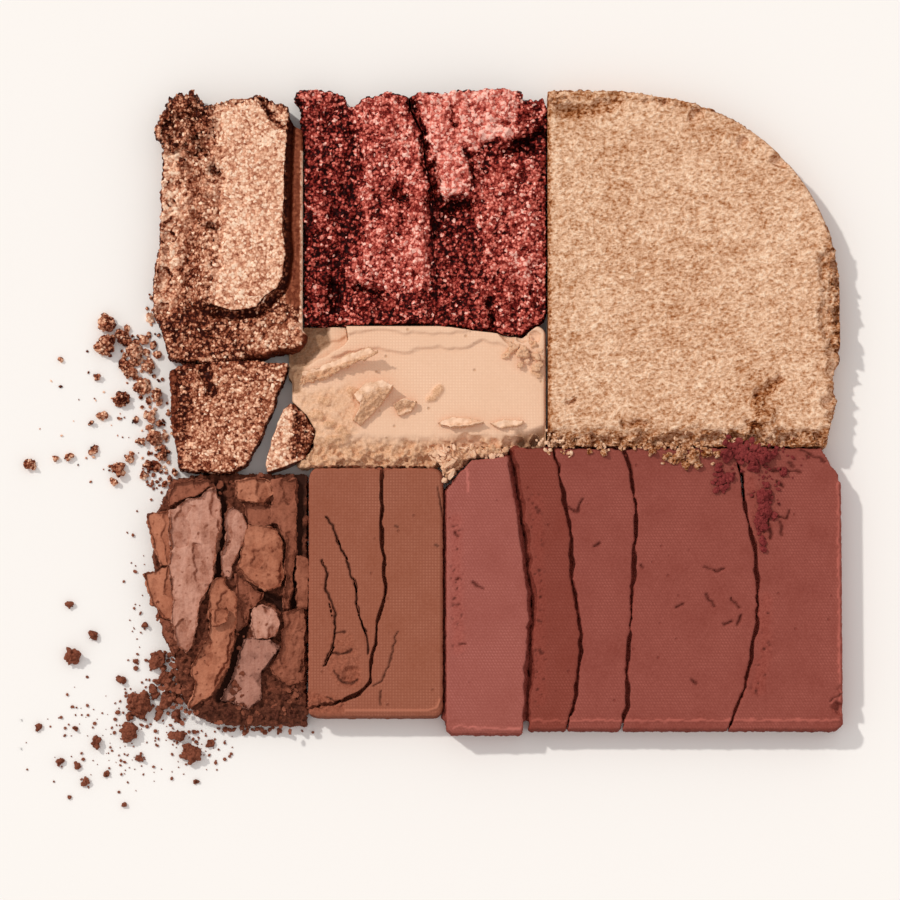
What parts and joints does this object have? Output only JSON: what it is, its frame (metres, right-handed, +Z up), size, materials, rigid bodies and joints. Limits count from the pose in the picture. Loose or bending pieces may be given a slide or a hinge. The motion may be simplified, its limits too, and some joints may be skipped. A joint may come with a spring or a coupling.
{
  "type": "eyeshadow palette",
  "caption": "Set of broken pressed-powder eyeshadow cakes in shimmer and matte shades, laid out as a palette with loose flakes and crumbs.",
  "frame": {"origin": "middle of the whole set's bounding box, on the table plane under the cakes", "axes": "+X to the right along the longer side of the layout, +Y up the layout away from the viewer, +Z up from the table"},
  "size_m": [0.082, 0.0721, 0.0051],
  "materials": {
    "copper_shimmer": "satin",
    "burgundy_shimmer": "satin",
    "champagne_shimmer": "satin",
    "cream_matte": "matte",
    "cocoa_matte": "matte",
    "brown_matte": "matte",
    "mauve_matte": "matte",
    "berry_matte": "matte"
  },
  "bodies": {
    "root": {"berry_crumbs": "berry_matte", "brown_left_slab": "brown_matte", "brown_right_slab": "brown_matte", "burgundy_left_block": "burgundy_shimmer", "burgundy_right_block": "burgundy_shimmer", "champagne_cake": "champagne_shimmer", "champagne_corner_flake": "champagne_shimmer", "champagne_crumbs": "champagne_shimmer", "cocoa_crumbs": "cocoa_matte", "cocoa_foot_crumbs": "cocoa_matte", "cocoa_inner_chunk": "cocoa_matte", "cocoa_left_flake": "cocoa_matte", "cocoa_left_strip": "cocoa_matte", "cocoa_lower_flake": "cocoa_matte", "cocoa_lower_flap": "cocoa_matte", "cocoa_middle_chunk": "cocoa_matte", "cocoa_narrow_flake": "cocoa_matte", "cocoa_ridge_chunk": "cocoa_matte", "cocoa_right_column": "cocoa_matte", "cocoa_right_strip": "cocoa_matte", "cocoa_round_chip": "cocoa_matte", "cocoa_side_crumbs": "cocoa_matte", "cocoa_square_chip": "cocoa_matte", "cocoa_tan_flake": "cocoa_matte", "cocoa_thin_strip": "cocoa_matte", "cocoa_under_layer": "cocoa_matte", "cocoa_upper_chip": "cocoa_matte", "cocoa_upper_chunk": "cocoa_matte", "cocoa_upper_flap": "cocoa_matte", "copper_base": "copper_shimmer", "copper_corner_crumbs": "copper_shimmer", "copper_crumbs": "copper_shimmer", "copper_lower_piece": "copper_shimmer", "copper_pressed_skin": "copper_shimmer", "copper_shard": "copper_shimmer", "cream_cake": "cream_matte", "cream_corner_crumbs": "cream_matte", "cream_curl": "cream_matte", "cream_front_rubble": "cream_matte", "cream_large_flake": "cream_matte", "cream_lower_shavings": "cream_matte", "cream_small_flake": "cream_matte", "mauve_slab_a": "mauve_matte", "mauve_slab_b": "mauve_matte", "mauve_slab_c": "mauve_matte", "mauve_slab_d": "mauve_matte", "mauve_slab_e": "mauve_matte"}
  },
  "joints": []
}
